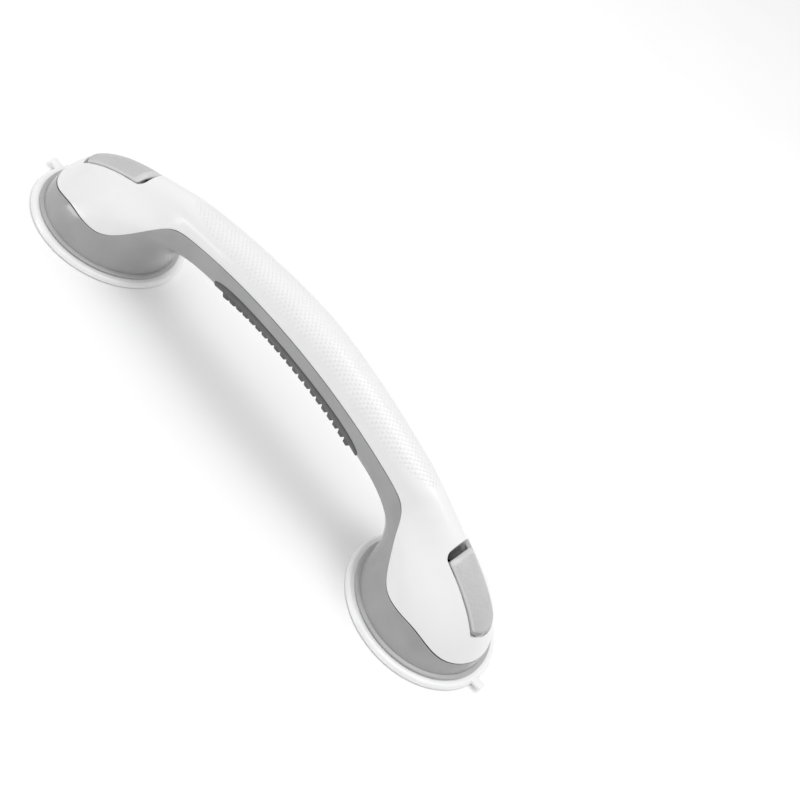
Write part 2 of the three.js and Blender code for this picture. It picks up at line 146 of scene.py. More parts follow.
def section_table():
    """Rows of (crown x, crown z, under x, under z, half width, lean) at even steps from end to end."""
    neck, way = np.array(CROWN_NECK), unit(CROWN_WAY)
    low, low_way = np.array(UNDER_NECK), unit(UNDER_WAY)
    rim_out, rim_in = HALF_SPAN + SKIRT_R, HALF_SPAN - SKIRT_R
    t = np.linspace(0, 1, 500)
    one = np.array([1.0])
    bar = np.hstack([
        cubic([0, CROWN_MID], [42, CROWN_MID], neck - 9 * way, neck, t),
        cubic([0, UNDER_MID], [41, UNDER_MID], low - 7.5 * low_way, low, t),
        (MID_WIDTH + (NECK_WIDTH - MID_WIDTH) * ease(t))[:, None],
        np.full((len(t), 1), BAR_LEAN)])
    head = np.hstack([
        cubic(neck, neck + 52 * way, [rim_out - 3, SKIRT_Z + 28.6], [rim_out, SKIRT_Z], t),
        cubic(low, low + 8 * low_way, [rim_in, SKIRT_Z + 44], [rim_in, SKIRT_Z], t),
        cubic(NECK_WIDTH * one, 16.2 * one, 35.9 * one, SKIRT_R * one, t),
        (BAR_LEAN * (1 - t) + HEAD_LEAN * np.sin(math.pi * t))[:, None]])
    half = np.vstack([bar, head[1:]])
    middle = (half[:, 0:2] + half[:, 2:4]) / 2
    step_middle = np.linalg.norm(np.diff(middle, axis=0), axis=1)
    step_crown = np.linalg.norm(np.diff(half[:, 0:2], axis=0), axis=1)
    along = np.concatenate([[0], np.cumsum(step_middle + 0.4 * step_crown)])
    even = np.linspace(0, along[-1], 1201)
    half = np.stack([np.interp(even, along, half[:, k]) for k in range(6)], axis=1)
    flip = half[1:] * np.array([-1, 1, -1, 1, 1, 1])
    table = np.vstack([flip[::-1], half])
    step = even[1]
    reach = int(3 * SMOOTH_OVER / step)
    kernel = np.exp(-0.5 * (np.arange(-reach, reach + 1) * step / SMOOTH_OVER) ** 2)
    kernel /= kernel.sum()
    padded = np.vstack([2 * table[0] - table[reach:0:-1], table, 2 * table[-1] - table[-2:-reach - 2:-1]])
    smooth = np.stack([np.convolve(padded[:, k], kernel, "valid") for k in range(6)], axis=1)
    return np.linspace(-even[-1], even[-1], len(smooth)), smooth


STATIONS, SECTIONS = section_table()
END = STATIONS[-1]


def surface(a, v):
    """Points of the body at station a and angle v from the crown."""
    a, v = np.broadcast_arrays(np.asarray(a, float), np.asarray(v, float))
    cx, cz, ux, uz, width, lean = (np.interp(a, STATIONS, SECTIONS[:, k]) for k in range(6))
    shrink = 1 - lean * np.sin(2 * v) ** 2
    x = (cx + ux) / 2 + (cx - ux) / 2 * np.cos(v) * shrink
    z = (cz + uz) / 2 + (cz - uz) / 2 * np.cos(v) * shrink
    return np.stack([x, width * np.sin(v) * shrink, z], axis=-1)


def facing(a, v):
    """Outward unit normals of the body."""
    da, dv = 0.4, 0.01
    a = np.asarray(a, float)
    along = surface(np.minimum(a + da, END), v) - surface(np.maximum(a - da, -END), v)
    across = surface(a, v + dv) - surface(a, v - dv)
    return unit(np.cross(along, across))


def joint_table():
    """Heights of the joint at even steps of x. The last rows, which the smoothing spoils, are left off."""
    x = np.arange(0, 230, JOINT_STEP)
    head = JOINT_HEAD + (JOINT_END - JOINT_HEAD) * ramp(x, JOINT_END_FROM, JOINT_END_TO)
    bar = JOINT_MID - JOINT_BOW * x * x
    height = bar + (head - bar) * ramp(x, JOINT_NECK_FROM, JOINT_NECK_TO)
    both = np.concatenate([height[:0:-1], height])
    offset = np.arange(-24, 25) * JOINT_STEP
    kernel = np.exp(-0.5 * (offset / 4.0) ** 2)
    eased = np.convolve(both, kernel / kernel.sum(), "same")[len(height) - 1:]
    return x[:400], eased[:400]


JOINT_X, JOINT_Z = joint_table()


def joint_height(x):
    return np.interp(np.abs(x), JOINT_X, JOINT_Z)


def above_joint(a, v):
    p = surface(a, v)
    return p[..., 2] - joint_height(p[..., 0])


def joint_curve(lift, count):
    """Stations and angles of one side of the joint, raised by lift, from the -X end to the +X end."""
    low, high = 0.0, END
    for _ in range(50):
        mid = (low + high) / 2
        if above_joint(mid, 0.0) > lift:
            low = mid
        else:
            high = mid
    a = low * np.sin(np.linspace(-math.pi / 2, math.pi / 2, 6001))
    v0, v1 = np.zeros(len(a)), np.full(len(a), math.pi)
    for _ in range(50):
        mid = (v0 + v1) / 2
        up = above_joint(a, mid) > lift
        v0, v1 = np.where(up, mid, v0), np.where(up, v1, mid)
    v0[0] = v0[-1] = 0
    # even steps along the line, each then moved onto it
    p = surface(a, v0)
    along = np.concatenate([[0], np.cumsum(np.linalg.norm(np.diff(p, axis=0), axis=1))])
    even = np.linspace(0, along[-1], count)
    a, v = np.interp(even, along, a), np.interp(even, along, v0)
    for _ in range(8):
        miss = above_joint(a, v) - lift
        ahead, behind = np.clip(a + 0.05, -END, END), np.clip(a - 0.05, -END, END)
        ga = (above_joint(ahead, v) - above_joint(behind, v)) / 0.1
        gv = (above_joint(a, v + 0.002) - above_joint(a, v - 0.002)) / 0.004 / ACROSS
        size = ga * ga + gv * gv + 1e-9
        a = a - 0.8 * np.clip(miss * ga / size, -0.5, 0.5)
        v = v - 0.8 * np.clip(miss * gv / size, -0.5, 0.5) / ACROSS
    v[0] = v[-1] = 0
    return a, v


def locate(x, y):
    """Station and angle of the upper surface point at plan position (x, y)."""
    x, y = np.asarray(x, float), np.asarray(y, float)
    a = np.interp(x, SECTIONS[:, 0], STATIONS)
    v = np.arcsin(np.clip(y / 40, -0.9, 0.9))
    for _ in range(25):
        p = surface(a, v)
        da = (surface(a + 0.05, v) - surface(a - 0.05, v)) / 0.1
        dv = (surface(a, v + 0.001) - surface(a, v - 0.001)) / 0.002
        det = da[..., 0] * dv[..., 1] - da[..., 1] * dv[..., 0]
        ex, ey = x - p[..., 0], y - p[..., 1]
        a = a + np.clip((ex * dv[..., 1] - ey * dv[..., 0]) / det, -5, 5)
        v = v + np.clip((ey * da[..., 0] - ex * da[..., 1]) / det, -0.2, 0.2)
    return a, v


def crown_height(x, y):
    return surface(*locate(x, y))[..., 2]


# ---------------------------------------------------------------- meshes
def inside(points, polygon):
    """Which points lie in a closed polygon."""
    x, y = points[:, 0], points[:, 1]
    hit = np.zeros(len(points), bool)
    for (x0, y0), (x1, y1) in zip(polygon, np.roll(polygon, -1, axis=0)):
        if y0 == y1:
            continue
        crossing = (y0 > y) != (y1 > y)
        hit ^= crossing & (x < (x1 - x0) * (y - y0) / (y1 - y0) + x0)
    return hit


def triangulate(loops, step):
    """Fills between loops of 2D points: the first is the outline and the others are holes."""
    keep_off = 0.45 * step
    every = np.vstack(loops)
    low, high = loops[0].min(0), loops[0].max(0)
    xs = np.arange(low[0], high[0], step)
    ys = np.arange(low[1], high[1], step * 0.9)
    gx, gy = np.meshgrid(xs, ys)
    gx[::2] += step / 2
    grid = np.stack([gx.ravel(), gy.ravel()], axis=1)
    keep = inside(grid, loops[0])
    for hole in loops[1:]:
        keep &= ~inside(grid, hole)
    grid = grid[keep]
    close = np.ones(len(grid), bool)
    for i in range(0, len(grid), 512):
        block = grid[i:i + 512]
        gap = np.min(((block[:, None, :] - every[None, :, :]) ** 2).sum(-1), axis=1)
        close[i:i + 512] = gap > keep_off ** 2
    points = np.vstack([every, grid[close]])
    edges, first = [], 0
    for loop in loops:
        count = len(loop)
        edges += [(first + i, first + (i + 1) % count) for i in range(count)]
        first += count
    made = delaunay_2d_cdt([Vector(p) for p in points], edges, [], 0, 1e-7)
    out = np.array([tuple(p) for p in made[0]])
    faces = np.array([f for f in made[2] if len(f) == 3])
    origin = {o: i for i, source in enumerate(made[3]) for o in source}
    centre = out[faces].mean(1)
    ok = inside(centre, loops[0])
    for hole in loops[1:]:
        ok &= ~inside(centre, hole)
    faces = faces[ok]
    p, q, r = out[faces[:, 0]], out[faces[:, 1]], out[faces[:, 2]]
    turn = (q[:, 0] - p[:, 0]) * (r[:, 1] - p[:, 1]) - (q[:, 1] - p[:, 1]) * (r[:, 0] - p[:, 0])
    faces[turn < 0] = faces[turn < 0][:, ::-1]
    rings, first = [], 0
    for loop in loops:
        rings.append([origin[first + i] for i in range(len(loop))])
        first += len(loop)
    return out, faces, rings


class Skin:
    """A mesh put together from points with known normals."""

    def __init__(self):
        self.points, self.normals, self.faces, self.marks = [], [], [], []

    def add(self, points, normals, mark=0.0):
        first = len(self.points)
        self.points.extend(np.asarray(points, float).reshape(-1, 3))
        self.normals.extend(np.asarray(normals, float).reshape(-1, 3))
        mark = np.broadcast_to(np.asarray(mark, float), (len(self.points) - first,))
        self.marks.extend(mark)
        return list(range(first, len(self.points)))

    def strip(self, one, two, flip=False):
        """Quads between two closed rings."""
        count = len(one)
        for i in range(count):
            j = (i + 1) % count
            quad = (one[i], one[j], two[j], two[i])
            self.faces.append(quad[::-1] if flip else quad)

    def roll(self, ring, radius, depth, down=None, flip=False, mark=0.0):
        """A rounded edge from a boundary ring, then a wall of that depth. Returns the wall's last ring."""
        steps = 5
        p = np.array([self.points[i] for i in ring])
        n = np.array([self.normals[i] for i in ring])
        along = np.roll(p, -1, axis=0) - np.roll(p, 1, axis=0)
        out = unit(np.cross(along, n)) * (-1 if flip else 1)
        last = ring
        for k in range(1, steps + 1):
            angle = math.pi / 2 * k / steps
            at = p + radius * (math.sin(angle) * out - (1 - math.cos(angle)) * n)
            fresh = self.add(at, math.cos(angle) * n + math.sin(angle) * out, mark)
            self.strip(last, fresh, flip=not flip)
            last = fresh
        if depth > 0:
            way = -n if down is None else np.broadcast_to(down, n.shape)
            fresh = self.add(at + way * depth, out, mark)
            self.strip(last, fresh, flip=not flip)
            last = fresh
        return last

    def build(self, name, material, exact=True, move=None):
        """The object, with points that coincide joined and, if exact, with the known normals."""
        _, keep, back = np.unique(np.round(self.points, 3) + 0.0, axis=0,
                                  return_index=True, return_inverse=True)
        back = back.ravel()
        points = np.array(self.points)[keep] * MM
        normals = unit(np.array(self.normals)[keep])
        marks = np.array(self.marks, np.float32)[keep]
        faces = [[int(back[i]) for i in f] for f in self.faces]
        faces = [f for f in faces if len(set(f)) == len(f)]
        if move is not None:
            turn = np.array(move.to_3x3())
            points = points @ turn.T + np.array(move.translation)
            normals = normals @ turn.T
        mesh = bpy.data.meshes.new(name)
        mesh.from_pydata([tuple(p) for p in points], [], faces)
        mesh.validate()
        mesh.update()
        mesh.shade_smooth()
        attribute = mesh.attributes.new("mark", "FLOAT", "POINT")
        attribute.data.foreach_set("value", marks)
        if exact:
            mesh.normals_split_custom_set_from_vertices([tuple(n) for n in normals])
        mesh.materials.append(material)
        thing = bpy.data.objects.new(name, mesh)
        bpy.context.scene.collection.objects.link(thing)
        return thing


def slot_outline(grow, inner=SLOT_INNER, corner=3.5):
    """Plan outline of the lever slot about the cup axis, anticlockwise, for the head at +X."""
    half, inner, corner = SLOT_HALF + grow, inner - grow, corner + grow
    side, far = SLOT_SHOULDER + grow, 2 * (SLOT_OUTER + grow) - SLOT_SHOULDER - grow
    points = []
    for t in np.linspace(0, 1, 60):
        points.append([inner + corner + t * (side - inner - corner), -half])
    for t in np.linspace(0, 1, 60)[1:]:
        points.append([side * (1 - t) ** 2 + 2 * far * t * (1 - t) + side * t * t, -half + 2 * half * t])
    for t in np.linspace(0, 1, 60)[1:]:
        points.append([side + t * (inner + corner - side), half])
    for centre_y, begin in ((half - corner, 90), (corner - half, 180)):
        for angle in np.radians(np.linspace(begin, begin + 90, 16)[1:]):
            points.append([inner + corner + corner * math.cos(angle), centre_y + corner * math.sin(angle)])
    return even_loop(np.array(points), 0.9)


def even_loop(points, spacing):
    """A closed loop resampled at even steps, with its corners eased."""
    closed = np.vstack([points, points[:1]])
    along = np.concatenate([[0], np.cumsum(np.linalg.norm(np.diff(closed, axis=0), axis=1))])
    count = int(along[-1] / 0.3)
    even = np.arange(count) * along[-1] / count
    loop = np.stack([np.interp(even, along, closed[:, k]) for k in range(2)], axis=1)
    for _ in range(2):
        loop = (np.roll(loop, 1, axis=0) + 2 * loop + np.roll(loop, -1, axis=0)) / 4
    take = np.round(np.linspace(0, count, int(along[-1] / spacing), endpoint=False)).astype(int)
    return loop[take]


# ---------------------------------------------------------------- materials
def node_material(name, dark, light, rough, scale=60.0, bump=0.0, bump_scale=900.0,
                  metallic=0.0, coat=0.0, bump_depth=0.0002):
    """Colour and roughness vary a little with a noise. The bump is left off where the mesh's mark is 1."""
    spread = 0.06
    material = bpy.data.materials.new(name)
    material.use_nodes = True
    nodes, links = material.node_tree.nodes, material.node_tree.links
    shader = nodes["Principled BSDF"]
    where = nodes.new("ShaderNodeTexCoord")
    noise = nodes.new("ShaderNodeTexNoise")
    noise.inputs["Scale"].default_value = scale
    noise.inputs["Detail"].default_value = 4
    links.new(where.outputs["Object"], noise.inputs["Vector"])
    colour = nodes.new("ShaderNodeValToRGB")
    colour.color_ramp.elements[0].position = 0.3
    colour.color_ramp.elements[1].position = 0.7
    colour.color_ramp.elements[0].color = (*dark, 1)
    colour.color_ramp.elements[1].color = (*light, 1)
    links.new(noise.outputs["Fac"], colour.inputs["Fac"])
    links.new(colour.outputs["Color"], shader.inputs["Base Color"])
    gloss = nodes.new("ShaderNodeMapRange")
    gloss.inputs["To Min"].default_value = max(rough - spread, 0.02)
    gloss.inputs["To Max"].default_value = rough + spread
    links.new(noise.outputs["Fac"], gloss.inputs["Value"])
    links.new(gloss.outputs["Result"], shader.inputs["Roughness"])
    shader.inputs["Metallic"].default_value = metallic
    shader.inputs["Coat Weight"].default_value = coat
    if bump > 0:
        grain = nodes.new("ShaderNodeTexNoise")
        grain.inputs["Scale"].default_value = bump_scale
        grain.inputs["Detail"].default_value = 3
        links.new(where.outputs["Object"], grain.inputs["Vector"])
        relief = nodes.new("ShaderNodeBump")
        relief.inputs["Strength"].default_value = bump
        relief.inputs["Distance"].default_value = bump_depth
        mark = nodes.new("ShaderNodeAttribute")
        mark.attribute_name = "mark"
        plain = nodes.new("ShaderNodeMath")
        plain.operation = "SUBTRACT"
        plain.inputs[0].default_value = 1
        links.new(mark.outputs["Fac"], plain.inputs[1])
        where_plain = nodes.new("ShaderNodeMath")
        where_plain.operation = "MULTIPLY"
        links.new(grain.outputs["Fac"], where_plain.inputs[0])
        links.new(plain.outputs["Value"], where_plain.inputs[1])
        links.new(where_plain.outputs["Value"], relief.inputs["Height"])
        links.new(relief.outputs["Normal"], shader.inputs["Normal"])
    return material


def polished_and_painted_highlight(material, light, rough):
    """Glossier where the mesh's mark is 1, and paler there: the paler colour is a painted highlight."""
    nodes, links = material.node_tree.nodes, material.node_tree.links
    shader = nodes["Principled BSDF"]
    mark = nodes.new("ShaderNodeAttribute")
    mark.attribute_name = "mark"
    # painted highlight: the base colour is mixed towards the paler one where the mark is 1
    colour = nodes.new("ShaderNodeMix")
    colour.data_type = "RGBA"
    links.new(mark.outputs["Fac"], colour.inputs["Factor"])
    links.new(shader.inputs["Base Color"].links[0].from_socket, colour.inputs["A"])
    colour.inputs["B"].default_value = (*light, 1)
    links.new(colour.outputs["Result"], shader.inputs["Base Color"])
    gloss = nodes.new("ShaderNodeMix")
    links.new(mark.outputs["Fac"], gloss.inputs["Factor"])
    links.new(shader.inputs["Roughness"].links[0].from_socket, gloss.inputs["A"])
    gloss.inputs["B"].default_value = rough
    links.new(gloss.outputs["Result"], shader.inputs["Roughness"])
    return material


def dimpled(material, pitch, strength):
    """Rows of raised dots, laid out in plan on the diagonal, where the mesh's mark is 1."""
    nodes, links = material.node_tree.nodes, material.node_tree.links
    shader = nodes["Principled BSDF"]
    where = nodes.new("ShaderNodeTexCoord")
    cells = nodes.new("ShaderNodeTexVoronoi")
    cells.inputs["Scale"].default_value = 1 / pitch
    cells.inputs["Randomness"].default_value = 0.0
    cells.voronoi_dimensions = "2D"
    turned_rows = nodes.new("ShaderNodeMapping")
    turned_rows.inputs["Rotation"].default_value = (0, 0, math.pi / 4)
    links.new(where.outputs["Object"], turned_rows.inputs["Vector"])
    links.new(turned_rows.outputs["Vector"], cells.inputs["Vector"])
    height = nodes.new("ShaderNodeMapRange")
    height.inputs["From Min"].default_value = 0.12
    height.inputs["From Max"].default_value = 0.42
    height.inputs["To Min"].default_value = 1
    height.inputs["To Max"].default_value = 0
    links.new(cells.outputs["Distance"], height.inputs["Value"])
    mark = nodes.new("ShaderNodeAttribute")
    mark.attribute_name = "mark"
    where_marked = nodes.new("ShaderNodeMath")
    where_marked.operation = "MULTIPLY"
    links.new(height.outputs["Result"], where_marked.inputs[0])
    links.new(mark.outputs["Fac"], where_marked.inputs[1])
    relief = nodes.new("ShaderNodeBump")
    relief.inputs["Strength"].default_value = strength
    relief.inputs["Distance"].default_value = 0.0003
    links.new(where_marked.outputs["Value"], relief.inputs["Height"])
    links.new(relief.outputs["Normal"], shader.inputs["Normal"])
    return material


WHITE = dimpled(
    node_material("white_abs", (0.80, 0.80, 0.80), (0.82, 0.82, 0.82), 0.32, coat=0.25),
    pitch=0.0022, strength=0.9)
GREY = node_material("grey_abs", (0.31, 0.31, 0.31), (0.345, 0.345, 0.345), 0.22, coat=0.4)
RING = node_material("ring_abs", (0.40, 0.40, 0.40), (0.45, 0.45, 0.45), 0.3)
# the lever's smooth heel lip and edges are glossier and carry a painted highlight as a paler colour
LEVER = polished_and_painted_highlight(
    node_material("lever_abs", (0.48, 0.48, 0.48), (0.53, 0.53, 0.53), 0.45,
                  bump=1.0, bump_scale=800, bump_depth=0.0005),
    light=(0.60, 0.60, 0.60), rough=0.25)
PAD = node_material("grip_rubber", (0.075, 0.075, 0.075), (0.10, 0.10, 0.10), 0.5, bump=0.3)
CUP = node_material("cup_rubber", (0.84, 0.84, 0.84), (0.88, 0.88, 0.88), 0.25, coat=0.3)
NYLON = node_material("stem_nylon", (0.66, 0.65, 0.61), (0.72, 0.71, 0.68), 0.45)
PIN = node_material("pin_steel", (0.55, 0.55, 0.57), (0.65, 0.65, 0.67), 0.28, metallic=1.0)
SCREW = node_material("screw_steel", (0.5, 0.5, 0.52), (0.6, 0.6, 0.62), 0.35, metallic=1.0)
FLOOR = node_material("floor", (0.935, 0.935, 0.935), (0.945, 0.945, 0.945), 0.6, scale=8)

# the CAD's own pieces: screws, pins and stems are shown as they are, the others are replaced below
for name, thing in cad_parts.items():
    thing.data.materials.clear()
    if "screw" in name:
        thing.data.materials.append(SCREW)
    elif "pin" in name:
        thing.data.materials.append(PIN)
    elif "stem" in name:
        thing.data.materials.append(NYLON)
    else:
        thing.data.materials.append(GREY)

# ---------------------------------------------------------------- shells
EDGE = 0.4


def place(drawn):
    a, v = drawn[:, 0], drawn[:, 1] / ACROSS
    return surface(a, v), facing(a, v)


def on_head(outline, sign):
    """Plan points about a head's cup axis, to points of the drawing plane."""
    plan = outline * sign
    a, v = locate(plan[:, 0] + sign * HALF_SPAN, plan[:, 1])
    return np.stack([a, v * ACROSS], axis=1)


def dimple_mask(points):
    """Where the crown of the bar is dimpled: a strip that narrows to each end."""
    x, y, z = points.T
    reach = np.abs(x) / 108
    width = 15.2 * np.sqrt(np.clip(1 - reach ** 4, 0, 1))
    return ramp(width - np.abs(y), -0.5, 1.5) * (z > 60)


def top_cover():
    a, v = joint_curve(GAP / 2 + EDGE, JOINT_POINTS)
    near = np.stack([a, -v * ACROSS], axis=1)
    far = np.stack([a[::-1], v[::-1] * ACROSS], axis=1)
    outline = np.vstack([near, far[1:-1]])
    slots = [on_head(slot_outline(EDGE), sign) for sign in (1, -1)]
    drawn, faces, rings = triangulate([outline, *slots], 1.6)
    points, normals = place(drawn)
    skin = Skin()
    skin.add(points, normals, dimple_mask(points))
    skin.faces += [tuple(f) for f in faces]
    inner = skin.add(points - WALL * normals, -normals)
    skin.faces += [tuple(inner[i] for i in f[::-1]) for f in faces]
    last = skin.roll(rings[0], EDGE, 0)
    skin.strip(last, [inner[i] for i in rings[0]], flip=True)
    for ring in rings[1:]:
        edge = skin.roll(ring, EDGE, WELL_LIP, down=(0, 0, -1), flip=True)
        p = np.array([skin.points[i] for i in edge])
        n = np.array([skin.normals[i] for i in edge])
        # below the slot's inner end the wall steps back to let the heel swing
        outward = np.sign(p[0, 0])
        off = np.abs(p[:, 0]) - HALF_SPAN
        last, top = edge, p
        for level in WELL_LEVELS:
            deep = top.copy()
            lower = top[:, 2] - 0.01
            deep[:, 2] = np.where(off < WELL_DEEP, np.minimum(lower, level), lower)
            swing = np.sqrt(max(SWING_R ** 2 - (level - SWING_Z) ** 2, 0))
            back = np.where(off < WELL_HEEL_END, np.maximum(swing + SLOT_INNER, 0), 0)
            deep[:, 0] = p[:, 0] - outward * back
            fresh = skin.add(deep, n)
            skin.strip(last, fresh)
            last, top = fresh, deep
        foot = skin.add(top - WELL_FOOT * n, -n)
        skin.strip(last, foot)
        rise = skin.add(p - WELL_WALL * n, -n)
        skin.strip(foot, rise)
        skin.strip(rise, [inner[i] for i in ring])
    # the floor of each well, beyond the opening
    for sign in (1, -1):
        plan = slot_outline(FLOOR_GROW)
        plan = plan[plan[:, 0] > FLOOR_FROM]
        jump = int(np.argmax(np.linalg.norm(plan - np.roll(plan, 1, axis=0), axis=1)))
        plan = np.roll(plan, -jump, axis=0)
        close = np.linspace(plan[-1], plan[0], 16)[1:-1]
        flat, flat_faces, _ = triangulate([np.vstack([plan, close])], 2.0)
        for drop, up in ((FLOOR_TOP, 1), (FLOOR_UNDER, -1)):
            z = crown_height(flat[:, 0] + HALF_SPAN, 0 * flat[:, 0]) - drop
            p = np.stack([sign * (flat[:, 0] + HALF_SPAN), sign * flat[:, 1], z], axis=1)
            index = skin.add(p, np.tile([0, 0, float(up)], (len(p), 1)))
            skin.faces += [tuple(index[i] for i in f[::up]) for f in flat_faces]
    thing = skin.build("white_cover", WHITE)
    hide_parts("top_cover")
    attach(thing, "housing")


def bottom_shell():
    a, v = joint_curve(-GAP / 2 - EDGE, JOINT_POINTS)
    # drawn with the angle running from the crown (0) down one side, under the bar and up the other
    seam_points, rim_points = 12, 260
    seam = np.linspace(a[-1], END, seam_points)
    around = np.linspace(0, 2 * math.pi, rim_points)
    right = np.stack([np.full(rim_points, END), around * ACROSS], axis=1)
    left = np.stack([np.full(rim_points, -END), around[::-1] * ACROSS], axis=1)
    low = np.stack([a, v * ACROSS], axis=1)
    high = np.stack([a[::-1], (2 * math.pi - v[::-1]) * ACROSS], axis=1)
    bottom, top = np.zeros(seam_points), np.full(seam_points, 2 * math.pi * ACROSS)
    outline = np.vstack([
        low, np.stack([seam, bottom], axis=1)[1:-1], right,
        np.stack([seam[::-1], top], axis=1)[1:-1], high,
        np.stack([-seam, top], axis=1)[1:-1], left,
        np.stack([-seam[::-1], bottom], axis=1)[1:-1]])
    drawn, faces, rings = triangulate([outline], 1.7)
    points, normals = place(drawn)
    skin = Skin()
    skin.add(points, normals)
    skin.faces += [tuple(f) for f in faces]
    inner = skin.add(points - WALL * normals, -normals)
    skin.faces += [tuple(inner[i] for i in f[::-1]) for f in faces]
    # the outline's stretches, in order: joint, seam, rim, seam, joint, seam, rim, seam
    ring = rings[0]
    count, between = len(low), seam_points - 2
    right_at = count + between
    high_at = right_at + rim_points + between
    left_at = high_at + count + between
    joint = ring[:count] + ring[high_at + 1:high_at + count - 1]
    rims = [ring[at:at + rim_points - 1] for at in (right_at, left_at)]
    for loop in [joint, *rims]:
        last = skin.roll(loop, EDGE, 0)
        skin.strip(last, [inner[i] for i in loop], flip=True)
    thing = skin.build("grey_shell", GREY)
    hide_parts("bottom_shell")
    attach(thing, "housing")


top_cover()
bottom_shell()


# ---------------------------------------------------------------- grip pad
def grip_pad():
    under = SECTIONS[:, 2:4]
    low = np.interp(-PAD_HALF_LENGTH, under[:, 0], STATIONS)
    along = np.linspace(low, -low, 1000)
    centre = surface(along, math.pi)
    x = centre[:, 0] / PAD_HALF_LENGTH
    rise = PAD_RISE * np.clip(1 - np.abs(x) ** 8, 0, 1) + 0.01
    v0, v1 = np.zeros(len(along)) + 0.3, np.full(len(along), math.pi)
    for _ in range(40):
        mid = (v0 + v1) / 2
        high = surface(along, mid)[:, 2] > centre[:, 2] + rise
        v0, v1 = np.where(high, mid, v0), np.where(high, v1, mid)
    q = np.sin(np.linspace(-math.pi / 2, math.pi / 2, 90))
    a = np.repeat(along[:, None], len(q), axis=1)
    v = math.pi + q[None, :] * (math.pi - v0)[:, None]
    points, normals = surface(a, v), facing(a, v)
    phase = (points[..., 0] / RIB_PITCH + 0.5) % 1 - 0.5
    tooth = ramp(0.5 - np.abs(phase), *RIB_FLANK)
    last = RIB_PITCH * (RIB_COUNT / 2)
    tooth = tooth * (np.abs(points[..., 0]) < last)
    climb = points[..., 2] - centre[:, None, 2]
    reach = ramp(RIB_CLIMB - climb, 0, RIB_FADE)
    end = ramp(np.minimum(1 - np.abs(q)[None, :], (1 - np.abs(x))[:, None] * 6), 0, 0.05)
    height = PAD_SUNK + PAD_STEP * end + RIB_HEIGHT * tooth * reach * end
    points = points + normals * height[..., None]
    rows, cols = a.shape
    skin = Skin()
    skin.add(points, normals)
    for i in range(rows - 1):
        for j in range(cols - 1):
            k = i * cols + j
            skin.faces.append((k, k + 1, k + cols + 1, k + cols))
    thing = skin.build("soft_pad", PAD, exact=False)
    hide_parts("grip_pad")
    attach(thing, "housing")


grip_pad()


# ---------------------------------------------------------------- turned pieces
def turned(skin, profile, count=128, at=(0, 0)):
    """Turns an outline of (radius, z) points about a vertical axis. Its last point joins its first."""
    angle = np.linspace(0, 2 * math.pi, count, endpoint=False)
    rings = []
    for r, z in profile:
        p = np.stack([at[0] + r * np.cos(angle), at[1] + r * np.sin(angle), np.full(count, z)], axis=1)
        rings.append(skin.add(p, np.tile([0, 0, 1.0], (count, 1))))
    for one, two in zip(rings, rings[1:] + rings[:1]):
        skin.strip(one, two, flip=True)


def arc(cx, cz, radius, begin, end, count):
    angle = np.radians(np.linspace(begin, end, count))
    return [(cx + radius * math.cos(t), cz + radius * math.sin(t)) for t in angle]


def by_angle(thing):
    """Smooth shading with sharp edges where two faces meet at more than SHARP_ANGLE."""
    thing.data.shade_smooth()
    mesh = thing.data
    faces = [f.normal.copy() for f in mesh.polygons]
    owners = {}
    for f in mesh.polygons:
        for key in f.edge_keys:
            owners.setdefault(key, []).append(f.index)
    limit = math.cos(math.radians(SHARP_ANGLE))
    for edge in mesh.edges:
        pair = owners.get(tuple(sorted(edge.vertices)), [])
        edge.use_edge_sharp = len(pair) == 2 and faces[pair[0]].dot(faces[pair[1]]) < limit


def head_frame(side):
    turn = math.pi if side == "a" else 0.0
    x = -HALF_SPAN if side == "a" else HALF_SPAN
    return Matrix.Translation((x * MM, 0, 0)) @ Matrix.Rotation(turn, 4, "Z")


def suction_cup(side):
    """The disc, with its rolled rim and pull tab."""
    under = [(0.4, 3.6), (12, 3.4), (26, 2.2), (40, 0.9), (43.2, 0.25), (44.2, 0.0), (49.2, 0.0)]
    rim = arc(49.25, 0.75, 0.74, -80, 60, 8) + arc(47.6, 0.9, 2.2, 35, 100, 8)
    over = [(45, 2.9), (40, 3.1), (12, 6.0), (0.4, 6.2)]
    profile = under + rim + over
    skin = Skin()
    turned(skin, profile, 200)
    turn = Matrix.Rotation(math.radians(CUP_TURN if side == "a" else -CUP_TURN), 4, "Z")
    thing = skin.build(f"disc_{side}", CUP, exact=False, move=head_frame(side) @ turn)
    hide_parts(f"suction_cup_{side}")
    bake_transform(thing)

    # the pull tab on the rim, a rounded tongue that lifts a little
    skin = Skin()
    rings = []
    for t in np.linspace(0, 1, 26):
        r = TAB_FROM + TAB_LENGTH * math.sin(t * math.pi / 2)
        close = math.sqrt(max(1 - max((t - TAB_SHOULDER) / 0.55, 0) ** 2.6, 0))
        wide = 0.05 + (TAB_HALF_WIDTH - 0.2 * t) * close
        thick = 0.05 + (TAB_HALF_THICK - 0.1 * t) * close ** 0.7
        angle = np.linspace(0, 2 * math.pi, TAB_ROUND, endpoint=False)
        y = wide * np.sign(np.cos(angle)) * np.abs(np.cos(angle)) ** 0.8
        z = TAB_Z + TAB_LIFT * t ** 1.2 + thick * np.sign(np.sin(angle)) * np.abs(np.sin(angle)) ** 0.8
        points = np.stack([np.full(TAB_ROUND, r), y, z], axis=1)
        rings.append(skin.add(points, np.tile([0, 0, 1.0], (TAB_ROUND, 1))))
    for one, two in zip(rings, rings[1:]):
        skin.strip(one, two)
    skin.faces += [tuple(rings[0][::-1]), tuple(rings[-1])]
    tab = skin.build(f"pull_tab_{side}", CUP, exact=False, move=head_frame(side) @ turn)
    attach(tab, "housing")


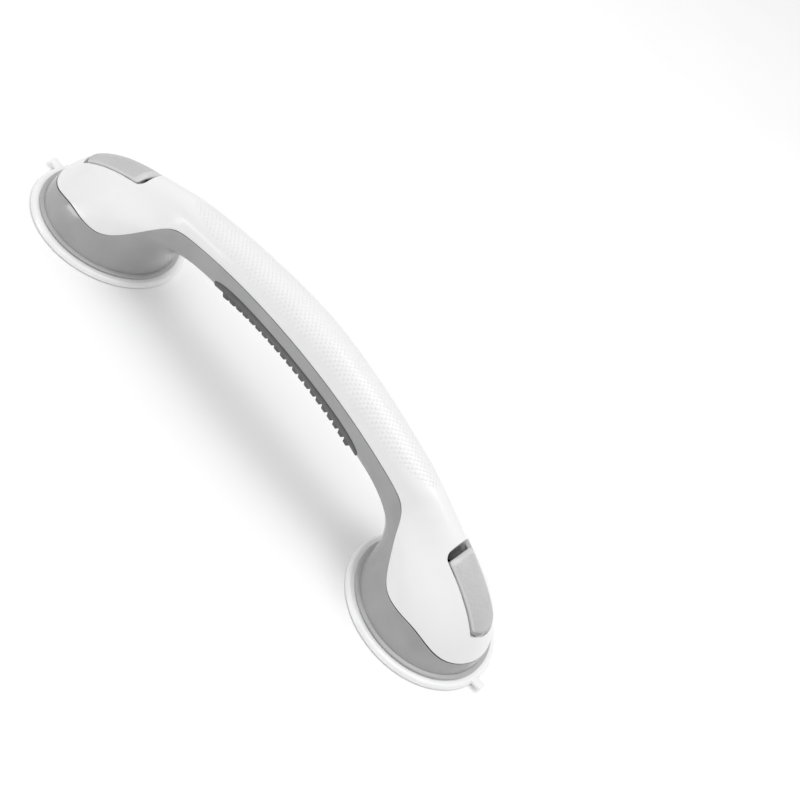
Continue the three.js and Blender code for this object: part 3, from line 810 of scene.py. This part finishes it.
def base_ring(side):
    """The ring's rounded edge, its plate, the post the cam pushes on and the collars of its screws."""
    skin = Skin()
    edge = [(x, z - 0.1) for x, z in arc(45.0, 4.3, 0.6, -80, 80, 7)]
    plate = [(44.7, 5.0), (38.6, 5.0), (38.6, 6.8), (36.8, 6.8), (14, 12.2), (12.5, 13)]
    post = [(12.5, 28.2), (12.2, 28.5), (6.4, 28.5), (6.1, 28.2), (6.1, 9.3), (15, 9.3)]
    turned(skin, [(38, 3.5), (44.9, 3.4)] + edge + plate + post)
    collar = [(1.9, 8.1), (5.4, 8.1), (5.4, 11.2), (5.1, 11.5), (1.9, 11.5)]
    for sx in (-RING_SCREW, RING_SCREW):
        for sy in (-RING_SCREW, RING_SCREW):
            turned(skin, collar, 24, (sx, sy))
    thing = skin.build(f"ring_{side}", RING, exact=False, move=head_frame(side))
    by_angle(thing)
    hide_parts(f"base_ring_{side}")
    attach(thing, "housing")


def lever_top(x, y):
    """Height of the lever's top: the crown, turned so that the tip stands proud, and rounded at the heel."""
    crown = crown_height(HALF_SPAN + TILT_AT, 0)
    flat = TILT_AT + (x - TILT_AT) / math.cos(LEVER_TILT)
    for _ in range(4):
        height = crown_height(flat + HALF_SPAN, y) - crown
        flat = TILT_AT + ((x - TILT_AT) + height * math.sin(LEVER_TILT)) / math.cos(LEVER_TILT)
    z = crown - LEVER_SINK + (flat - TILT_AT) * math.sin(LEVER_TILT) + height * math.cos(LEVER_TILT)
    barrel = PIN_Z + np.sqrt(np.clip(HEEL_R ** 2 - np.minimum(x, 0) ** 2, 0, None))
    barrel = barrel + 4 * np.clip(x, 0, None) - 0.035 * y * y * 0.4
    # a soft minimum rounds the ridge where the two surfaces meet
    gap = (z - barrel) / RIDGE
    return np.minimum(z, barrel) - RIDGE * np.log1p(np.exp(-np.abs(gap)))


def lever(side):
    inset = -LEVER_CLEAR - LEVER_EDGE
    loop = slot_outline(inset, inner=HEEL_FLAT + LEVER_EDGE + inset, corner=3.0)
    drawn, faces, rings = triangulate([loop], 1.1)
    x, y = drawn.T
    z = lever_top(x, y)
    slope_x = (lever_top(x + 0.05, y) - lever_top(x - 0.05, y)) / 0.1
    slope_y = (lever_top(x, y + 0.05) - lever_top(x, y - 0.05)) / 0.1
    points = np.stack([x, y, z], axis=1)
    normals = unit(np.stack([-slope_x, -slope_y, np.ones(len(x))], axis=1))
    # the smooth heel and sides: no grain there, and the material paints a highlight there as a paler colour
    plain = np.maximum(ramp(GRAIN_FROM - x, 0, 0.8), ramp(np.abs(y) - GRAIN_HALF, 0, 0.5))
    skin = Skin()
    skin.add(points, normals, plain)
    skin.faces += [tuple(f) for f in faces]
    below = crown_height(x + HALF_SPAN, 0 * y) - LEVER_THICK + 0.1
    below = np.minimum(below, z - 1.2)
    inner = skin.add(np.stack([x, y, below], axis=1), np.tile([0, 0, -1.0], (len(x), 1)))
    skin.faces += [tuple(inner[i] for i in f[::-1]) for f in faces]
    # the rounded edge is marked as well, so it takes the painted highlight and no grain
    last = skin.roll(rings[0], LEVER_EDGE, 0, mark=1.0)
    p = np.array([skin.points[i] for i in last])
    foot_z = np.array([skin.points[inner[i]][2] for i in rings[0]])
    foot = p.copy()
    foot[:, 2] = np.minimum(foot_z + 0.3, p[:, 2] - 0.1)
    side_n = np.array([skin.normals[i] for i in last]) * np.array([1, 1, 0])
    foot_ring = skin.add(foot, side_n)
    skin.strip(last, foot_ring, flip=True)
    skin.strip(foot_ring, [inner[i] for i in rings[0]], flip=True)
    thing = skin.build(f"flip_lever_{side}", LEVER, move=head_frame(side))
    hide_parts(f"lever_{side}")
    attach(thing, f"lever_{side}")

    # the two cam cheeks under the plate
    profile = []
    for angle in np.linspace(-20, 90, 36):
        t = math.radians(angle)
        radius = CAM_R - STEM_TRAVEL * angle / 90
        profile.append((-math.sin(t) * radius, PIN_Z - math.cos(t) * radius))
    profile += [(HEEL_FLAT, PIN_Z + 1), (HEEL_FLAT, 46.4), (-6.6, 47.2), (4, 44.4), (11, 40.6), (9, 36)]
    outer = SLOT_HALF - LEVER_CLEAR - 0.1
    for where, low, high in (("far", STEM_BLADE + 0.7, outer), ("near", -outer, -STEM_BLADE - 0.7)):
        skin = Skin()
        one = skin.add([(px, low, pz) for px, pz in profile], [(0, -1, 0)] * len(profile))
        two = skin.add([(px, high, pz) for px, pz in profile], [(0, 1, 0)] * len(profile))
        skin.strip(one, two)
        skin.faces += [tuple(one[::-1]), tuple(two)]
        cheek = skin.build(f"cam_cheek_{side}_{where}", LEVER, exact=False, move=head_frame(side))
        by_angle(cheek)
        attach(cheek, f"lever_{side}")


for side in ("a", "b"):
    suction_cup(side)
    base_ring(side)
    lever(side)

# ---------------------------------------------------------------- floor, light and camera
floor_mesh = bpy.data.meshes.new("floor")
FLOOR_REACH, FLOOR_Z = 4, -0.0004
corners = [(x * FLOOR_REACH, y * FLOOR_REACH, FLOOR_Z) for x, y in ((-1, -1), (1, -1), (1, 1), (-1, 1))]
floor_mesh.from_pydata(corners, [], [(0, 1, 2, 3)])
floor_mesh.materials.append(FLOOR)
floor = bpy.data.objects.new("floor", floor_mesh)
bpy.context.scene.collection.objects.link(floor)

SKY_LOW, SKY_HIGH = 0.5, 1.12  # brightness at the horizon and overhead
world = bpy.data.worlds.new("world")
bpy.context.scene.world = world
world.use_nodes = True
sky, sky_links = world.node_tree.nodes, world.node_tree.links
sky["Background"].inputs["Color"].default_value = (1, 1, 1, 1)
direction = sky.new("ShaderNodeTexCoord")
parts = sky.new("ShaderNodeSeparateXYZ")
rise = sky.new("ShaderNodeMapRange")
rise.inputs["To Min"].default_value = SKY_LOW
rise.inputs["To Max"].default_value = SKY_HIGH
sky_links.new(direction.outputs["Generated"], parts.inputs["Vector"])
sky_links.new(parts.outputs["Z"], rise.inputs["Value"])
sky_links.new(rise.outputs["Result"], sky["Background"].inputs["Strength"])


def softbox(name, at, toward, size, energy):
    data = bpy.data.lights.new(name, "AREA")
    data.shape = "RECTANGLE"
    data.size, data.size_y = size
    data.energy = energy
    light = bpy.data.objects.new(name, data)
    light.location = at
    light.rotation_euler = (Vector(toward) - Vector(at)).to_track_quat("-Z", "Y").to_euler()
    bpy.context.scene.collection.objects.link(light)


softbox("key", (0.25, 0.35, 1.3), (0, 0, 0.05), (0.8, 0.8), 5)
softbox("glint", (-1.38, -1.38, 0.15), (0, 0, 0.03), (1.0, 0.25), 4.5)

camera_data = bpy.data.cameras.new("camera")
camera_data.sensor_width = 36
camera_data.lens = 58.73
camera_data.shift_y = -0.0337
camera = bpy.data.objects.new("camera", camera_data)
# the camera's axes and place, as recovered from the rims of the two cups
right, down, ahead = (0.63325, 0.56703, 0.52675), (0.74892, -0.2773, -0.60185), (-0.1952, 0.77562, -0.60027)
turn = Matrix((right, [-c for c in down], [-c for c in ahead])).transposed()
camera.matrix_world = Matrix.Translation((0.18679, -0.54532, 0.52053)) @ turn.to_4x4()
bpy.context.scene.collection.objects.link(camera)
bpy.context.scene.camera = camera
bpy.context.scene.view_settings.view_transform = "Standard"
